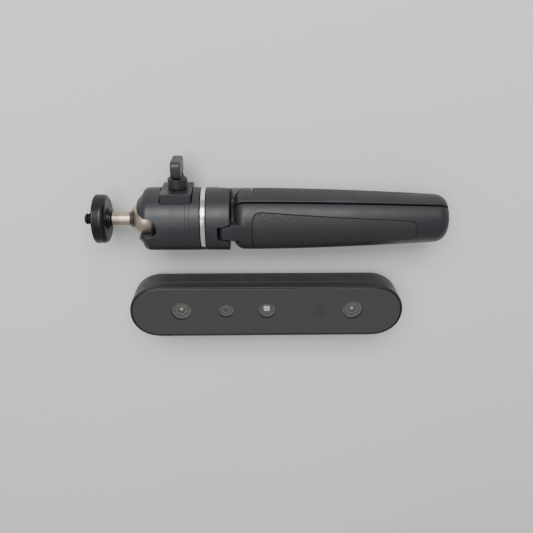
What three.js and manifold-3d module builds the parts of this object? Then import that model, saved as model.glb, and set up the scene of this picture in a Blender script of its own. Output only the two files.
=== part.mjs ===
// Handheld 3-D scanner lying face up beside its mini tripod grip.
// Millimetres. +X runs along both pieces, +Y goes from the scanner to the grip, and +Z is up.
// The origin is on the resting surface, at the middle of the whole set.

import * as THREE from 'three';
import { mergeVertices } from 'three/addons/utils/BufferGeometryUtils.js';
import Module from 'manifold-3d';

const wasm = await Module();
wasm.setup();

// ---------- driving dimensions ----------

const GAP = 0.3;                    // clearance between neighbouring pieces

const SCANNER = {
  width: 155.4, height: 31.6, depth: 25.6,
  endLength: 17.5, endPower: 2.15,  // the soft round ends
  centreX: 0.6, centreY: -35.5,
  wall: 1.8, rearRound: 9, frontChamfer: 0.5,
  split: 18.6,                      // where the rear cover meets the front frame
  rim: 0.9,                         // frame seen around the glass
  glass: 1.15,
};
const OPTICS = {
  rowY: 0.7,                        // the lenses stand a little above the middle
  leftCameraX: -48.8, rightCameraX: 48.9, cameraR: 5.6,
  colourX: -23.3, colourR: 4.3,
  projectorX: -0.1, projectorR: 4.7,
  fillLightX: 30.2, fillLightR: 4,
  front: 23.9,                      // barrel fronts, just behind the glass
};
const MODULES = {                   // camera and projector bodies behind their barrels
  camera: [14, 14], colour: [11, 11], projector: [18, 14.4], middleZ: 11.9, thick: 5.4,
  mouth: 0.66,                      // share of a barrel's radius that is open
  mouthDepth: 2.6,
};
const LAMP = { low: 17.5, flange: 1.2, dishZ: 20, dishR: 1.4, high: 23.6, lip: 0.6 };
const BRACKET = {
  low: 15, high: 17.2, width: 132, height: 22,
  postX: 60, postY: 4, postR: 2.6, postLow: 7.2,
};
const SOCKET_RELIEF = [16, 10, 10];
const BOARD = { low: 5, thick: 1.6, width: 130, height: 23 };
const SPREADER = { size: [100, 18, 1.8], middleZ: 7.9 };
const BUTTON = {
  r: 5.5, face: 0.5, pinR: 1.3, pinEnd: 3,
  flangeLow: 2.15, flangeHigh: 2.75, flangeR: 6.8,
};
const SWITCH = { size: [6, 6, 0.7], middleZ: 4.35, stemR: 1.6, stemLow: 3.6, stemHigh: 4.2 };
const LIGHT = { x: -15, r: 1.2, low: 0.15, high: 4.7 };
const USB = {
  x: 45, width: 8.9, height: 3.2, low: 0.2, high: 6.9,
  skin: 0.35, tongue: [6.2, 0.8, 4.7],
};
const SOCKET = { r: 4.6, flangeR: 6, bore: 3, boreDepth: 6.5, length: 7.4 };
const SCREW = { headR: 1.9, shankR: 1, length: 11.5, sink: 0.9 };

// The grip has its own frame: X along its axis, zero at the ball's centre, +Z up.
const GRIP = { ballX: -63.8, axisY: 18.1, axisZ: 17.4, radius: 17 };
const BALL = { r: 10, stemR: 4, stemEnd: -19.4 };
const PLATE = {
  r: 13.2, back: -21.3, face: -28.3, padR: 12, padThick: 1.2,
  hubR: 6, hubEnd: -20.4, recessR: 4.6,
};
const STUD = { r: 3.15, length: 5.6, start: -22.1 };
const HOUSING = { mouth: -1.8, end: 28.8, bore: 13.8, boreEnd: 25.4 };
const COLLAR = { front: -5, back: 3.2, tipR: 10.8 };
const NOTCH = { half: 5.4, centreX: 1.2 };
const FLARE = { shell: [2, 2], collar: [3.5, 5.5] };      // along X and across, where the notch opens out
const BOSS = { x: 16.3, halfX: 8.2, halfZ: 11.4, top: 17.2, round: 1.2 };
const KNOB = {
  x: 16.8, collarR: 5.3, collarTop: 24, neckR: 3.4, screwR: 2.5,
  wingThick: 5.3, wingWidth: 18, wingRound: 3.4, top: 33.2,
};
const CUP = { start: 4.8, end: 24, screwHole: 3.2 };
const RING = { start: 29.1, end: 31.5, r: 17.3 };
const HUB = { start: 31.8, end: 44.3, slotFloor: 7.6 };
const SLOT = [[37.8, 3.8], [40.2, 4], [45.3, 5.8]];      // half widths along a hub slot
const LUG = [[38.65, 3.25], [40.3, 3.35], [46.1, 4.6], [53, 4.9]];    // and along a leg's lug
const LUG_TOP = { start: 40.35, r: 16.5 };
const PAN_BOLT = { r: 3, start: 25.8, headR: 5.5, headDepth: 2.8, sink: 0.4 };
const LEG = {
  count: 3, phase: 10,              // degrees that the first leg leans towards the scanner
  start: 46.4, tip: 161.5, shoulder: 5,
  pinX: 42.2, pinR: 12.8, pinRadius: 1.3, pinHalf: 9, eyeR: 3.5,
  skin: 3.4, channelHalf: 7,
};
const TAPER = { full: 16.6, drop: 3.7, start: 60, length: 100, power: 1.6 };
const PAD = { start: 56.2, end: 143.4, half: [10.6, 5.4], depth: 1.4, round: 4.5 };
const FOOT = { width: 9, length: 7, depth: 1.6, middleZ: 6 };

const ROUND = 36;                   // segments of large, middling and small rounds
const MIDDLE = 20;
const SMALL = 10;
const FAR = 60;                     // longer than any cut has to be

// ---------- materials ----------

function material(color, roughness, metalness) {
  return new THREE.MeshStandardMaterial({ color, roughness, metalness });
}

const anodised = material(0x1b1c1f, 0.5, 0.6);
const tintedGlass = material(0x202124, 0.08, 0);
const lensGlass = material(0x5a5c66, 0.05, 0);
const blackPlastic = material(0x1a1b1d, 0.45, 0);
const softRubber = material(0x222325, 0.85, 0);
const champagne = material(0xb9ac9c, 0.35, 0.9);
const brightMetal = material(0xd9d7d3, 0.25, 1);
const steel = material(0x9a9b9e, 0.35, 1);
const brass = material(0xb08d4a, 0.4, 1);
const aluminium = material(0x8e9094, 0.45, 0.9);
const circuitBoard = material(0x1f4f36, 0.6, 0);

// ---------- solids ----------

function solid(geometry) {
  const bare = geometry.clone();
  bare.deleteAttribute('normal');
  bare.deleteAttribute('uv');
  const merged = mergeVertices(bare, 1e-4);
  const position = merged.attributes.position;
  const index = merged.index.array;
  const triangles = [];
  const [a, b, c] = [new THREE.Vector3(), new THREE.Vector3(), new THREE.Vector3()];
  let volume = 0;
  for (let i = 0; i < index.length; i += 3) {
    const corners = [index[i], index[i + 1], index[i + 2]];
    if (new Set(corners).size < 3) continue;
    a.fromBufferAttribute(position, corners[0]);
    b.fromBufferAttribute(position, corners[1]);
    c.fromBufferAttribute(position, corners[2]);
    volume += a.dot(b.cross(c));
    triangles.push(corners);
  }
  const outward = triangles.map((t) => (volume < 0 ? [t[0], t[2], t[1]] : t));
  return new wasm.Manifold(new wasm.Mesh({
    numProp: 3,
    vertProperties: new Float32Array(position.array),
    triVerts: new Uint32Array(outward.flat()),
  }));
}

function asGeometry(shape) {
  const mesh = shape.getMesh();
  const geometry = new THREE.BufferGeometry();
  const places = new Float32Array(mesh.vertProperties);
  geometry.setAttribute('position', new THREE.BufferAttribute(places, 3));
  geometry.setIndex(new THREE.BufferAttribute(new Uint32Array(mesh.triVerts), 1));
  geometry.computeVertexNormals();
  return geometry;
}

function box(size, centre) {
  return solid(new THREE.BoxGeometry(...size).translate(...centre));
}

// A rod along X, Y or Z, between two places on that axis; at holds the other two coordinates.
function rod(axis, radius, from, to, at = [0, 0], segments = MIDDLE) {
  const geometry = new THREE.CylinderGeometry(radius, radius, to - from, segments);
  geometry.translate(0, (from + to) / 2, 0);
  if (axis === 'x') geometry.rotateZ(-Math.PI / 2).translate(0, at[0], at[1]);
  if (axis === 'y') geometry.translate(at[0], 0, at[1]);
  if (axis === 'z') geometry.rotateX(Math.PI / 2).translate(at[0], at[1], 0);
  return solid(geometry);
}

// A turned piece about X, from a closed outline of [place along X, radius] points.
function turned(outline, segments = ROUND) {
  const points = outline.map(([along, radius]) => new THREE.Vector2(radius, along));
  const onAxis = points[0].x === 0 && points.at(-1).x === 0;
  if (!onAxis) points.push(points[0].clone());
  return solid(new THREE.LatheGeometry(points, segments).rotateZ(-Math.PI / 2));
}

function prism(shape, low, high, rounding = 0) {
  const geometry = new THREE.ExtrudeGeometry(shape, {
    depth: high - low - 2 * rounding,
    curveSegments: 8,
    bevelEnabled: rounding > 0,
    bevelSize: rounding,
    bevelThickness: rounding,
    bevelOffset: -rounding,
    bevelSegments: rounding > 2 ? 4 : 1,
  });
  return solid(geometry.translate(0, 0, low + rounding));
}

function roundedRectangle(width, height, round) {
  const [x, y] = [width / 2, height / 2];
  const shape = new THREE.Shape();
  shape.moveTo(x - round, -y);
  shape.absarc(x - round, -y + round, round, -Math.PI / 2, 0);
  shape.absarc(x - round, y - round, round, 0, Math.PI / 2);
  shape.absarc(-x + round, y - round, round, Math.PI / 2, Math.PI);
  shape.absarc(-x + round, -y + round, round, Math.PI, 1.5 * Math.PI);
  shape.closePath();
  return shape;
}

// The scanner's outline, taken in by a margin: straight sides and superellipse ends.
function barOutline(margin) {
  const half = SCANNER.height / 2 - margin;
  const endLength = SCANNER.endLength - margin;
  const straight = SCANNER.width / 2 - SCANNER.endLength;
  const steps = 12;
  const points = [];
  for (const side of [1, -1]) {
    for (let i = 0; i <= steps; i++) {
      const angle = -Math.PI / 2 + (Math.PI * i) / steps;
      const [c, s] = [Math.cos(angle), Math.sin(angle)];
      const power = 2 / SCANNER.endPower;
      const x = straight + endLength * Math.abs(c) ** power;
      const y = half * Math.sign(s) * Math.abs(s) ** power;
      points.push(new THREE.Vector2(side * x, side * y));
    }
  }
  return new THREE.Shape(points);
}

// ---------- scene graph ----------

const set = new THREE.Group();
const scanner = new THREE.Group();
const grip = new THREE.Group();
scanner.position.set(SCANNER.centreX, SCANNER.centreY, 0);
grip.position.set(GRIP.ballX, GRIP.axisY, GRIP.axisZ);
set.add(scanner, grip);

function add(group, name, shape, surface) {
  const mesh = new THREE.Mesh(asGeometry(shape), surface);
  mesh.name = name;
  group.add(mesh);
  return mesh;
}

// ---------- scanner: casing ----------

const screwPlaces = [];
for (const x of [-BRACKET.postX, BRACKET.postX]) {
  for (const y of [-BRACKET.postY, BRACKET.postY]) screwPlaces.push([x, y]);
}
const socketZ = SCANNER.depth / 2;
const underside = -SCANNER.height / 2;

function rearCover() {
  const far = SCANNER.split + 2 * SCANNER.rearRound;
  const wall = SCANNER.wall;
  let cover = prism(barOutline(0), 0, far, SCANNER.rearRound);
  cover = cover.subtract(prism(barOutline(wall), wall, far + FAR, SCANNER.rearRound - wall));
  cover = cover.subtract(box([4 * FAR, FAR, 2 * FAR], [0, 0, SCANNER.split + FAR]));
  cover = cover.subtract(rod('z', BUTTON.r + GAP, -1, wall + 1));
  cover = cover.subtract(rod('z', LIGHT.r + GAP, -1, wall + 1, [LIGHT.x, 0], SMALL));
  cover = cover.subtract(prism(roundedRectangle(USB.width + 0.7, USB.height + 0.7, 1.9), -1, wall + 1)
    .translate([USB.x, 0, 0]));
  for (const place of screwPlaces) {
    cover = cover.subtract(rod('z', SCREW.headR + GAP, -1, SCREW.sink, place, SMALL));
    cover = cover.subtract(rod('z', SCREW.shankR + GAP, 0, wall + 1, place, SMALL));
  }
  return cover.subtract(rod('y', SOCKET.r + GAP, underside - 1, underside + wall + 1, [0, socketZ]));
}

function frontFrame() {
  const low = SCANNER.split + GAP;
  const seat = SCANNER.depth - SCANNER.glass - 2 * GAP;
  let frame = prism(barOutline(0), low - 3, SCANNER.depth, SCANNER.frontChamfer);
  frame = frame.subtract(prism(barOutline(SCANNER.rim), seat, SCANNER.depth + 1));
  frame = frame.subtract(prism(barOutline(2.6), low - 4, seat + 1));
  return frame.subtract(box([4 * FAR, FAR, 6], [0, 0, low - 3]));
}

add(scanner, 'rear_cover', rearCover(), anodised);
add(scanner, 'front_frame', frontFrame(), anodised);
const glassTop = SCANNER.depth - 0.15;
const pane = prism(barOutline(SCANNER.rim + GAP), glassTop - SCANNER.glass, glassTop);
add(scanner, 'front_glass', pane, tintedGlass);

screwPlaces.forEach(([x, y], i) => {
  const outline = [[0.15, 0], [0.15, SCREW.headR], [0.6, SCREW.headR], [0.6, SCREW.shankR],
    [SCREW.length, SCREW.shankR], [SCREW.length, 0]];
  const screw = turned(outline, SMALL).subtract(box([1, 1.6, 1.6], [0.15, 0, 0]));
  const mesh = add(scanner, `cover_screw_${i + 1}`, screw, steel);
  mesh.rotation.y = -Math.PI / 2;
  mesh.position.set(x, y, 0);
});

// ---------- scanner: optics ----------

const barrels = [
  ['left_camera', OPTICS.leftCameraX, OPTICS.cameraR, MODULES.camera],
  ['colour_camera', OPTICS.colourX, OPTICS.colourR, MODULES.colour],
  ['projector', OPTICS.projectorX, OPTICS.projectorR, MODULES.projector],
  ['right_camera', OPTICS.rightCameraX, OPTICS.cameraR, MODULES.camera],
];

function opticsModule(x, radius, [width, height]) {
  const y = OPTICS.rowY;
  let body = box([width, height, MODULES.thick], [x, y, MODULES.middleZ]);
  body = body.add(rod('z', radius, MODULES.middleZ, OPTICS.front, [x, y]));
  const floor = OPTICS.front - MODULES.mouthDepth;
  return body.subtract(rod('z', radius * MODULES.mouth, floor, OPTICS.front + 1, [x, y]));
}

// A domed lens element that sits in the barrel's mouth.
function lens(radius) {
  const r = radius * MODULES.mouth - GAP;
  const dome = [];
  for (let i = 0; i <= 3; i++) {
    const angle = (Math.PI / 2) * (i / 3);
    dome.push([0.7 + 0.9 * Math.sin(angle), r * Math.cos(angle)]);
  }
  dome[3][1] = 0;
  return turned([[0, 0], [0, r], ...dome], MIDDLE);
}

for (const [name, x, radius, size] of barrels) {
  add(scanner, name, opticsModule(x, radius, size), blackPlastic);
  const mesh = add(scanner, `${name}_lens`, lens(radius), lensGlass);
  mesh.rotation.y = -Math.PI / 2;
  mesh.position.set(x, OPTICS.rowY, OPTICS.front - MODULES.mouthDepth + GAP);
}

function fillLight() {
  const r = OPTICS.fillLightR;
  const { low, flange, dishZ, dishR, high, lip } = LAMP;
  const cup = [[low, 0], [low, r + 1], [low + flange, r + 1], [low + flange, r],
    [high, r], [high, r - lip], [dishZ, dishR], [dishZ, 0]];
  return turned(cup, MIDDLE);
}
const lamp = add(scanner, 'fill_light', fillLight(), aluminium);
lamp.rotation.y = -Math.PI / 2;
lamp.position.set(OPTICS.fillLightX, OPTICS.rowY, 0);

function opticsBracket() {
  const middle = (BRACKET.low + BRACKET.high) / 2;
  let bracket = box([BRACKET.width, BRACKET.height, BRACKET.high - BRACKET.low], [0, 0, middle]);
  for (const place of screwPlaces) {
    bracket = bracket.add(rod('z', BRACKET.postR, BRACKET.postLow, BRACKET.low + 1, place, SMALL));
    bracket = bracket.subtract(rod('z', SCREW.shankR + GAP, 6, SCREW.length + 1, place, SMALL));
  }
  for (const [, x, radius] of barrels) {
    bracket = bracket.subtract(rod('z', radius + GAP, 14, 18, [x, OPTICS.rowY]));
  }
  return bracket.subtract(box(SOCKET_RELIEF, [0, underside + 3, BRACKET.low]));
}
add(scanner, 'optics_bracket', opticsBracket(), aluminium);

// ---------- scanner: electronics, button and socket ----------

function mainBoard() {
  let board = box([BOARD.width, BOARD.height, BOARD.thick], [0, 0, BOARD.low + BOARD.thick / 2]);
  for (const place of screwPlaces) {
    board = board.subtract(rod('z', SCREW.shankR + 0.4, 4, 8, place, SMALL));
  }
  return board.subtract(box([USB.width + 1, USB.height + 1, 5], [USB.x, 0, BOARD.low]));
}
add(scanner, 'main_board', mainBoard(), circuitBoard);
add(scanner, 'heat_spreader', box(SPREADER.size, [0, OPTICS.rowY, SPREADER.middleZ]), aluminium);

function usbPort() {
  const { x, width, height, low, high, skin, tongue } = USB;
  const outer = prism(roundedRectangle(width, height, 1.55), low, high);
  const inside = roundedRectangle(width - 2 * skin, height - 2 * skin, 1.2);
  const shell = outer.subtract(prism(inside, -1, high - 0.7));
  return shell.add(box(tongue, [0, 0, high - tongue[2] / 2 - 0.1])).translate([x, 0, 0]);
}
add(scanner, 'usb_port', usbPort(), steel);

function scanButton() {
  const { r, face, flangeLow, flangeHigh, flangeR, pinR, pinEnd } = BUTTON;
  return turned([[face, 0], [face, r - 0.4], [face + 0.4, r], [flangeLow, r], [flangeLow, flangeR],
    [flangeHigh, flangeR], [flangeHigh, pinR], [pinEnd, pinR], [pinEnd, 0]], MIDDLE);
}
add(scanner, 'scan_button', scanButton(), softRubber).rotation.y = -Math.PI / 2;

function buttonSwitch() {
  const { size, middleZ, stemR, stemLow, stemHigh } = SWITCH;
  return box(size, [0, 0, middleZ]).add(rod('z', stemR, stemLow, stemHigh, [0, 0], SMALL));
}
add(scanner, 'button_switch', buttonSwitch(), steel);
add(scanner, 'status_light', rod('z', LIGHT.r, LIGHT.low, LIGHT.high, [LIGHT.x, 0], SMALL), lensGlass);

function tripodSocket() {
  const top = SOCKET.length;
  const outline = [[0.15, SOCKET.bore], [0.15, SOCKET.r], [3, SOCKET.r], [3, SOCKET.flangeR],
    [4.2, SOCKET.flangeR], [4.2, SOCKET.r], [top, SOCKET.r], [top, 0], [SOCKET.boreDepth, 0],
    [SOCKET.boreDepth, SOCKET.bore]];
  return turned(outline, MIDDLE);
}
const socket = add(scanner, 'tripod_socket', tripodSocket(), brass);
socket.rotation.z = Math.PI / 2;
socket.position.set(0, underside, socketZ);

// ---------- grip: ball head ----------

// The slot that lets the stem tilt to a right angle, with a round end.
function notchCut() {
  const { half, centreX } = NOTCH;
  const slot = box([FAR, 2 * half, FAR], [centreX - FAR / 2, 0, FAR / 2]);
  return slot.add(rod('z', half, 0, FAR, [centreX, 0]));
}

// The flare where the notch opens out at an edge.
function notchFlare(edge, [along, across]) {
  const outer = NOTCH.half + across;
  const shape = new THREE.Shape();
  shape.moveTo(edge - 3, -outer);
  shape.lineTo(edge, -outer);
  shape.absellipse(edge + along, -outer, along, across, Math.PI, Math.PI / 2, true);
  shape.lineTo(edge + along, NOTCH.half);
  shape.absellipse(edge + along, outer, along, across, -Math.PI / 2, Math.PI, true);
  shape.lineTo(edge - 3, outer);
  shape.closePath();
  return prism(shape, 0, FAR);
}

function housingShell() {
  const { mouth, end, bore, boreEnd } = HOUSING;
  const r = GRIP.radius;
  const outer = turned([[mouth, 0], [mouth, r - 2.2], [mouth + 0.7, r - 0.8], [mouth + 2.4, r],
    [end - 0.4, r], [end, r - 0.4], [end, 0]]);
  const boss = prism(roundedRectangle(2 * BOSS.halfX, 2 * BOSS.halfZ, BOSS.round), 0, BOSS.top, 0.4);
  let shell = outer.add(boss.rotate([-90, 0, 0]).translate([BOSS.x, 0, 0]));
  shell = shell.subtract(rod('x', bore, mouth - 1, boreEnd, [0, 0], ROUND));
  shell = shell.subtract(notchCut()).subtract(notchFlare(mouth, FLARE.shell));
  shell = shell.subtract(rod('y', KNOB.screwR + GAP, 0, FAR, [KNOB.x, 0], MIDDLE));
  return shell.subtract(rod('x', PAN_BOLT.r + GAP, 20, end + 1));
}
add(grip, 'housing_shell', housingShell(), blackPlastic);

function ballSeatCut() {
  return solid(new THREE.SphereGeometry(BALL.r + GAP, 24, 14));
}

function ballCollar() {
  const r = HOUSING.bore - GAP;
  const outline = [[COLLAR.front, 0], [COLLAR.front, COLLAR.tipR], [HOUSING.mouth - 0.6, r],
    [COLLAR.back, r], [COLLAR.back, 0]];
  const collar = turned(outline).subtract(ballSeatCut()).subtract(notchCut());
  return collar.subtract(notchFlare(COLLAR.front, FLARE.collar));
}
add(grip, 'ball_collar', ballCollar(), blackPlastic);

function seatCup() {
  const r = HOUSING.bore - GAP;
  const cup = turned([[CUP.start, 0], [CUP.start, r], [CUP.end, r], [CUP.end, 0]]);
  return cup.subtract(ballSeatCut()).subtract(rod('y', CUP.screwHole, -7, FAR, [KNOB.x, 0]));
}
add(grip, 'seat_cup', seatCup(), blackPlastic);

add(grip, 'ball', solid(new THREE.SphereGeometry(BALL.r, 24, 14)), champagne);
const stemOutline = [[BALL.stemEnd, 0], [BALL.stemEnd, BALL.stemR], [-8, BALL.stemR], [-8, 0]];
add(grip, 'ball_stem', turned(stemOutline, MIDDLE).subtract(ballSeatCut()), champagne);

function mountingPlate() {
  const { r, back, face, hubR, hubEnd, recessR, padR, padThick } = PLATE;
  const inner = face + padThick;
  const end = BALL.stemEnd - GAP;
  const outline = [[face + 0.25, padR + GAP], [face + 0.25, r - 0.5], [face + 0.75, r], [back - 2, r],
    [back - 0.6, r - 0.7], [back, r - 2.1], [back, hubR], [hubEnd, hubR], [hubEnd, recessR],
    [end, recessR], [end, 0], [STUD.start - GAP, 0], [STUD.start - GAP, STUD.r + GAP],
    [inner, STUD.r + GAP], [inner, padR + GAP]];
  return turned(outline);
}
add(grip, 'mounting_plate', mountingPlate(), blackPlastic);
add(grip, 'plate_pad', turned([[PLATE.face, STUD.r + 1], [PLATE.face, PLATE.padR],
  [PLATE.face + 0.9, PLATE.padR], [PLATE.face + 0.9, STUD.r + 1]]), softRubber);
const studTip = PLATE.face - STUD.length;
const studStart = STUD.start - 2 * GAP;
add(grip, 'camera_screw', turned([[studTip, 0], [studTip, STUD.r - 0.7], [studTip + 0.7, STUD.r],
  [studStart, STUD.r], [studStart, 0]], MIDDLE), blackPlastic);

function lockKnob() {
  const { collarR, collarTop, neckR, wingThick, wingWidth, wingRound, top } = KNOB;
  const low = BOSS.top + GAP;
  const plan = roundedRectangle(wingWidth, top - collarTop, wingRound);
  const wing = prism(plan, -wingThick / 2, wingThick / 2, 0.8)
    .rotate([0, 90, 0]).translate([0, (top + collarTop) / 2, 0]);
  let knob = rod('y', collarR, low, collarTop - 1.2).add(rod('y', neckR, collarTop - 2, collarTop + 3));
  knob = knob.add(wing);
  return knob.subtract(rod('y', KNOB.screwR + GAP, low - 1, collarTop - 1)).translate([KNOB.x, 0, 0]);
}
add(grip, 'lock_knob', lockKnob(), blackPlastic);
const screwTop = KNOB.collarTop - 1.5;
const screwOutline = [[0, -5.5], [KNOB.screwR, -2.5], [KNOB.screwR, screwTop], [0, screwTop]];
const screwPoint = new THREE.LatheGeometry(screwOutline.map((p) => new THREE.Vector2(...p)), MIDDLE);
add(grip, 'knob_screw', solid(screwPoint).translate([KNOB.x, 0, 0]), steel);

add(grip, 'accent_ring', turned([[RING.start, PAN_BOLT.r + GAP], [RING.start, RING.r - 0.3],
  [RING.start + 0.3, RING.r], [RING.end - 0.3, RING.r], [RING.end, RING.r - 0.3],
  [RING.end, PAN_BOLT.r + GAP]]), brightMetal);

// ---------- grip: leg base ----------

function aroundAxis(shape, turns) {
  return shape.rotate([-turns * (360 / LEG.count), 0, 0]);
}

// A plan outline from half widths, the same on both sides of the leg's middle.
function mirrored(halves) {
  const near = halves.map(([x, half]) => new THREE.Vector2(x, -half));
  const far = halves.map(([x, half]) => new THREE.Vector2(x, half)).reverse();
  return new THREE.Shape([...near, ...far]);
}

// A hinge pin, or the hole for one when the margins are more than zero.
function pinRod(margin, endMargin) {
  const half = LEG.pinHalf + endMargin;
  return rod('y', LEG.pinRadius + margin, -half, half, [LEG.pinX, LEG.pinR], SMALL);
}

function legBase() {
  const r = GRIP.radius;
  let hub = turned([[HUB.start, 0], [HUB.start, r - 0.4], [HUB.start + 0.4, r], [HUB.end - 0.5, r],
    [HUB.end, r - 0.5], [HUB.end, 0]]);
  const cut = prism(mirrored(SLOT), HUB.slotFloor, FAR).add(pinRod(0.2, GAP));
  for (let i = 0; i < LEG.count; i++) hub = hub.subtract(aroundAxis(cut, i));
  const boltHole = rod('x', PAN_BOLT.r + GAP, HUB.start - 1, HUB.end + 1);
  return hub.subtract(boltHole).subtract(rod('x', PAN_BOLT.headR + GAP, HUB.end - 3, HUB.end + 1));
}

const legGroup = new THREE.Group();
legGroup.rotation.x = THREE.MathUtils.degToRad(LEG.phase);
grip.add(legGroup);
add(legGroup, 'leg_base', legBase(), blackPlastic);
const boltNeck = HUB.end - PAN_BOLT.headDepth;
const boltEnd = HUB.end - PAN_BOLT.sink;
const boltOutline = [[PAN_BOLT.start, 0], [PAN_BOLT.start, PAN_BOLT.r], [boltNeck, PAN_BOLT.r],
  [boltNeck, PAN_BOLT.headR], [boltEnd, PAN_BOLT.headR], [boltEnd, 0]];
add(legGroup, 'pan_bolt', turned(boltOutline, MIDDLE), steel);

// ---------- grip: legs ----------

// Radius of the closed handle at a place along it, a little full in the middle.
function handleRadius(x) {
  const t = THREE.MathUtils.clamp((x - TAPER.start) / TAPER.length, 0, 1);
  return TAPER.full - TAPER.drop * t ** TAPER.power;
}

function handleOutline(inset, from, to) {
  const points = [[from, 0]];
  const steps = 5;
  const shoulder = LEG.shoulder;
  for (let i = 0; i <= 3; i++) {
    const angle = (Math.PI / 2) * (i / 3);
    const along = from + shoulder * (1 - Math.cos(angle));
    points.push([along, handleRadius(from) - inset - shoulder * (1 - Math.sin(angle))]);
  }
  const endRound = 7;
  for (let i = 1; i <= steps; i++) {
    const x = from + shoulder + ((to - endRound - from - shoulder) * i) / steps;
    points.push([x, handleRadius(x) - inset]);
  }
  const last = handleRadius(to - endRound) - inset;
  for (let i = 1; i <= 3; i++) {
    const angle = (Math.PI / 2) * (i / 3);
    points.push([to - endRound + endRound * Math.sin(angle), last - 5 * (1 - Math.cos(angle))]);
  }
  points.push([to, 0]);
  return points;
}

// One third of the round, with flat sides that meet the neighbouring legs.
function sector(from, to) {
  const half = Math.PI / LEG.count;
  const back = 0.6;
  const reach = 30;
  const wedge = new THREE.Shape([
    new THREE.Vector2(0, back),
    new THREE.Vector2(reach * Math.sin(half), back + reach * Math.cos(half)),
    new THREE.Vector2(-reach * Math.sin(half), back + reach * Math.cos(half)),
  ]);
  return prism(wedge, from, to).rotate([90, 0, 90]);
}

// Pad outline in the leg's own plan: wide at the hinge, narrow and round at the tip.
function padOutline(margin) {
  const [wide, narrow] = PAD.half.map((h) => h + margin);
  const [from, to] = [PAD.start - margin, PAD.end + margin];
  const r = PAD.round + margin;
  const shape = new THREE.Shape();
  shape.moveTo(from, -wide + r);
  shape.quadraticCurveTo(from, -wide, from + r, -wide);
  shape.lineTo(to - r, -narrow);
  shape.quadraticCurveTo(to, -narrow, to, 0);
  shape.quadraticCurveTo(to, narrow, to - r, narrow);
  shape.lineTo(from + r, wide);
  shape.quadraticCurveTo(from, wide, from, wide - r);
  shape.closePath();
  return shape;
}

// The hinge lug: a round eye in the hub's slot, and an arm that is flush with the leg's outside.
function lug() {
  const plan = prism(mirrored(LUG), LEG.pinR - LEG.eyeR, GRIP.radius);
  const eye = rod('y', LEG.eyeR, -9, 9, [LEG.pinX, LEG.pinR], MIDDLE);
  const upper = slab([LUG_TOP.start, FAR], [LEG.pinR, FAR]);
  const lower = slab([LEG.pinX, FAR], [LEG.pinR - 2.4, FAR]);
  const round = rod('x', LUG_TOP.r, 0, FAR, [0, 0], ROUND);
  return plan.intersect(eye.add(upper).add(lower)).intersect(round);
}

// A slab 20 mm wide between two places along the leg and two heights.
function slab([startX, endX], [lowZ, highZ]) {
  return box([endX - startX, 20, highZ - lowZ], [(startX + endX) / 2, 0, (lowZ + highZ) / 2]);
}

function legShell() {
  let shell = turned(handleOutline(0, LEG.start, LEG.tip));
  shell = shell.intersect(sector(LEG.start - 1, LEG.tip + 1));
  const inside = turned(handleOutline(LEG.skin, LEG.start + 3, LEG.tip - 4));
  const channel = inside.intersect(box([200, 2 * LEG.channelHalf, 40], [100, 0, 19]));
  shell = shell.subtract(channel).add(lug());
  const floor = turned(handleOutline(PAD.depth + GAP, LEG.start, LEG.tip));
  shell = shell.subtract(prism(padOutline(GAP), 0, FAR).subtract(floor));
  shell = shell.subtract(pinRod(0.2, GAP));
  shell = shell.subtract(rod('x', 6, LEG.start - 1, LEG.start + 2));
  return shell.subtract(footBlock(GAP));
}

function footBlock(margin) {
  const { width, length, depth, middleZ } = FOOT;
  const size = [2 * depth + 2 * margin, width + 2 * margin, length + 2 * margin];
  return box(size, [LEG.tip, 0, middleZ]);
}

function legFoot() {
  const end = turned(handleOutline(0, LEG.start, LEG.tip));
  return footBlock(0).intersect(end).intersect(sector(LEG.start, LEG.tip + 1));
}

function legPad() {
  const skin = turned(handleOutline(0, LEG.start, LEG.tip))
    .subtract(turned(handleOutline(PAD.depth, LEG.start, LEG.tip)));
  return skin.intersect(prism(padOutline(0), 0, FAR));
}

for (let i = 0; i < LEG.count; i++) {
  add(legGroup, `hinge_pin_${i + 1}`, aroundAxis(pinRod(0, 0), i), steel);
  add(legGroup, `leg_shell_${i + 1}`, aroundAxis(legShell(), i), blackPlastic);
  add(legGroup, `leg_pad_${i + 1}`, aroundAxis(legPad(), i), softRubber);
  add(legGroup, `leg_foot_${i + 1}`, aroundAxis(legFoot(), i), softRubber);
}

export default set;
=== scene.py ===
"""Looks of a handheld 3-D scanner that lies face up beside its folding mini tripod grip.

Shapes are worked out in millimetres and turned into metres when a piece is placed.
The grip's pieces are made in the grip's own frame: X along its axis from the ball's centre, +Z up.
"""
import math

import bmesh
import bpy
from mathutils import Matrix, Vector


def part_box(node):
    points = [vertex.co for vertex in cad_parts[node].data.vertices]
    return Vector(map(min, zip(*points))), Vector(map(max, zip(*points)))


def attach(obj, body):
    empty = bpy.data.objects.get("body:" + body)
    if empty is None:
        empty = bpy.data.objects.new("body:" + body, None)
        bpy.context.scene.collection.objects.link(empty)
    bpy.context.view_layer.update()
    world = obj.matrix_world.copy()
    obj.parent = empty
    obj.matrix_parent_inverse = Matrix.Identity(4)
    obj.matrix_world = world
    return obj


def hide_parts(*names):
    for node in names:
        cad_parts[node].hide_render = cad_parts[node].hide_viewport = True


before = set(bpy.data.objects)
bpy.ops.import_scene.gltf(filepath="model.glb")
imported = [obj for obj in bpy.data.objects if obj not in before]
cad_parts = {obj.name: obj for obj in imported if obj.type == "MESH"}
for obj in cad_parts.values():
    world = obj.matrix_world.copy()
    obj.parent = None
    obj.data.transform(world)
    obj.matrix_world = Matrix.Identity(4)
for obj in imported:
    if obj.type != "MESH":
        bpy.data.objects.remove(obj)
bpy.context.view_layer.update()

MM = 0.001
ROUND = 144                 # segments of a large round
SMALL = 48
FAR = 60                    # longer than any cut has to be
GAP = 0.3                   # clearance between neighbouring pieces


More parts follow.
